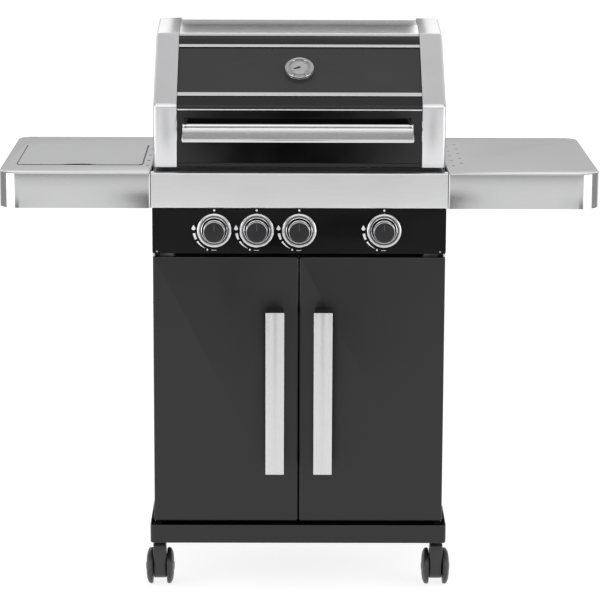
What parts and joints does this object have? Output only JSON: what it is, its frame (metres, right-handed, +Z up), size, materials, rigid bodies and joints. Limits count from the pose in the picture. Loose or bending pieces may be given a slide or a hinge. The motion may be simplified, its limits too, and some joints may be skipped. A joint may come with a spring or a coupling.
{
  "type": "gas barbecue grill",
  "caption": "Free-standing gas barbecue with a rolled hood, control panel with knobs, two-door cabinet on twin-wheel casters, and side shelves, one with a covered side burner.",
  "frame": {"origin": "on the floor, at the middle of the grill's outline", "axes": "+X to the right seen from the front, +Y to the back, +Z up"},
  "size_m": [1.245, 0.545, 1.1884],
  "materials": {
    "stainless": "brushed along X, satin",
    "bright_trim": "fine brushed, brighter",
    "cabinet_paint": "semi-gloss dark grey powder coat",
    "panel_paint": "semi-gloss black",
    "hood_enamel": "gloss black enamel",
    "box_enamel": "black heat-proof coat",
    "chrome_plate": "polished plating",
    "knob_plastic": "satin black",
    "needle_paint": "dark lacquer",
    "valve_brass": "machined",
    "burner_steel": "plain rolled",
    "grate_iron": "matt enamel",
    "caster_plastic": "moulded black",
    "wheel_plastic": "moulded dark grey"
  },
  "bodies": {
    "cart": {"base_pan": "cabinet_paint", "side_panel_left": "cabinet_paint", "side_panel_right": "cabinet_paint", "back_panel": "cabinet_paint", "front_rail": "cabinet_paint", "door_catch": "knob_plastic", "front_fascia": "stainless", "control_panel": "panel_paint", "knob_bezel_1": "chrome_plate", "knob_bezel_2": "chrome_plate", "knob_bezel_3": "chrome_plate", "knob_bezel_4": "chrome_plate", "gas_manifold": "valve_brass", "fire_box": "box_enamel", "burner_1": "burner_steel", "burner_2": "burner_steel", "burner_3": "burner_steel", "heat_plate_1": "burner_steel", "heat_plate_2": "burner_steel", "heat_plate_3": "burner_steel", "warming_rack": "chrome_plate", "hood_hinge_rod": "burner_steel", "side_shelf_left": "stainless", "side_shelf_right": "stainless", "side_burner_bowl": "box_enamel", "side_burner_head": "valve_brass", "side_burner_support": "grate_iron"},
    "hood": {"hood_shell": "hood_enamel", "hood_cap_left": "stainless", "hood_cap_right": "stainless", "hood_top_band": "bright_trim", "hood_trim_upper": "bright_trim", "hood_trim_lower": "bright_trim", "hood_handle": "bright_trim", "thermometer_case": "chrome_plate"},
    "needle": {"thermometer_needle": "needle_paint"},
    "left_door": {"door_left": "cabinet_paint", "door_handle_left": "bright_trim"},
    "right_door": {"door_right": "cabinet_paint", "door_handle_right": "bright_trim"},
    "burner_lid": {"side_burner_lid": "stainless"},
    "left_grate": {"cooking_grate_left": "grate_iron"},
    "right_grate": {"cooking_grate_right": "grate_iron"},
    "tray": {"grease_tray": "burner_steel"},
    "valve_1": {"valve_stem_1": "valve_brass"},
    "knob_1": {"knob_1": "knob_plastic"},
    "valve_2": {"valve_stem_2": "valve_brass"},
    "knob_2": {"knob_2": "knob_plastic"},
    "valve_3": {"valve_stem_3": "valve_brass"},
    "knob_3": {"knob_3": "knob_plastic"},
    "valve_4": {"valve_stem_4": "valve_brass"},
    "knob_4": {"knob_4": "knob_plastic"},
    "caster_front_left": {"caster_housing_front_left": "caster_plastic"},
    "wheels_front_left": {"caster_wheels_front_left": "wheel_plastic"},
    "caster_front_right": {"caster_housing_front_right": "caster_plastic"},
    "wheels_front_right": {"caster_wheels_front_right": "wheel_plastic"},
    "caster_rear_left": {"caster_housing_rear_left": "caster_plastic"},
    "wheels_rear_left": {"caster_wheels_rear_left": "wheel_plastic"},
    "caster_rear_right": {"caster_housing_rear_right": "caster_plastic"},
    "wheels_rear_right": {"caster_wheels_rear_right": "wheel_plastic"}
  },
  "joints": [
    {"name": "hood_hinge", "type": "hinge", "parent": "cart", "child": "hood", "pos_m": [0, 0.2305, 0.93], "axis": [-1, 0, 0], "range_deg": [0, 88]},
    {"name": "needle_turn", "type": "hinge", "parent": "hood", "child": "needle", "pos_m": [0, -0.11928, 1.10369], "axis": [0, 0.5926, -0.8055], "range_deg": [0, 225]},
    {"name": "left_door_hinge", "type": "hinge", "parent": "cart", "child": "left_door", "pos_m": [-0.3012, -0.202, 0.4435], "axis": [0, 0, -1], "range_deg": [0, 110]},
    {"name": "right_door_hinge", "type": "hinge", "parent": "cart", "child": "right_door", "pos_m": [0.3012, -0.202, 0.4435], "axis": [0, 0, 1], "range_deg": [0, 110]},
    {"name": "burner_lid_hinge", "type": "hinge", "parent": "cart", "child": "burner_lid", "pos_m": [-0.46, 0.1485, 0.908], "axis": [-1, 0, 0], "range_deg": [0, 100]},
    {"name": "left_grate_lift", "type": "slide", "parent": "cart", "child": "left_grate", "axis": [0, 0, 1], "range_m": [0, 0.05]},
    {"name": "right_grate_lift", "type": "slide", "parent": "cart", "child": "right_grate", "axis": [0, 0, 1], "range_m": [0, 0.05]},
    {"name": "tray_slide", "type": "slide", "parent": "cart", "child": "tray", "axis": [0, 1, 0], "range_m": [0, 0.25]},
    {"name": "valve_push_1", "type": "slide", "parent": "cart", "child": "valve_1", "axis": [0, 1, 0], "range_m": [0, 0.004], "stiffness_N_per_m": 400},
    {"name": "knob_turn_1", "type": "hinge", "parent": "valve_1", "child": "knob_1", "pos_m": [-0.176, -0.2195, 0.785], "axis": [0, -1, 0], "range_deg": [0, 180]},
    {"name": "valve_push_2", "type": "slide", "parent": "cart", "child": "valve_2", "axis": [0, 1, 0], "range_m": [0, 0.004], "stiffness_N_per_m": 400},
    {"name": "knob_turn_2", "type": "hinge", "parent": "valve_2", "child": "knob_2", "pos_m": [-0.088, -0.2195, 0.785], "axis": [0, -1, 0], "range_deg": [0, 180]},
    {"name": "valve_push_3", "type": "slide", "parent": "cart", "child": "valve_3", "axis": [0, 1, 0], "range_m": [0, 0.004], "stiffness_N_per_m": 400},
    {"name": "knob_turn_3", "type": "hinge", "parent": "valve_3", "child": "knob_3", "pos_m": [0, -0.2195, 0.785], "axis": [0, -1, 0], "range_deg": [0, 180]},
    {"name": "valve_push_4", "type": "slide", "parent": "cart", "child": "valve_4", "axis": [0, 1, 0], "range_m": [0, 0.004], "stiffness_N_per_m": 400},
    {"name": "knob_turn_4", "type": "hinge", "parent": "valve_4", "child": "knob_4", "pos_m": [0.176, -0.2195, 0.785], "axis": [0, -1, 0], "range_deg": [0, 180]},
    {"name": "caster_swivel_front_left", "type": "hinge", "parent": "cart", "child": "caster_front_left", "pos_m": [-0.2955, -0.1695, 0.09], "axis": [0, 0, 1], "continuous": true},
    {"name": "wheel_roll_front_left", "type": "hinge", "parent": "caster_front_left", "child": "wheels_front_left", "pos_m": [-0.2955, -0.1495, 0.039], "axis": [1, 0, 0], "continuous": true},
    {"name": "caster_swivel_front_right", "type": "hinge", "parent": "cart", "child": "caster_front_right", "pos_m": [0.2955, -0.1695, 0.09], "axis": [0, 0, 1], "continuous": true},
    {"name": "wheel_roll_front_right", "type": "hinge", "parent": "caster_front_right", "child": "wheels_front_right", "pos_m": [0.2955, -0.1495, 0.039], "axis": [1, 0, 0], "continuous": true},
    {"name": "caster_swivel_rear_left", "type": "hinge", "parent": "cart", "child": "caster_rear_left", "pos_m": [-0.2955, 0.1925, 0.09], "axis": [0, 0, 1], "continuous": true},
    {"name": "wheel_roll_rear_left", "type": "hinge", "parent": "caster_rear_left", "child": "wheels_rear_left", "pos_m": [-0.2955, 0.2125, 0.039], "axis": [1, 0, 0], "continuous": true},
    {"name": "caster_swivel_rear_right", "type": "hinge", "parent": "cart", "child": "caster_rear_right", "pos_m": [0.2955, 0.1925, 0.09], "axis": [0, 0, 1], "continuous": true},
    {"name": "wheel_roll_rear_right", "type": "hinge", "parent": "caster_rear_right", "child": "wheels_rear_right", "pos_m": [0.2955, 0.2125, 0.039], "axis": [1, 0, 0], "continuous": true}
  ]
}
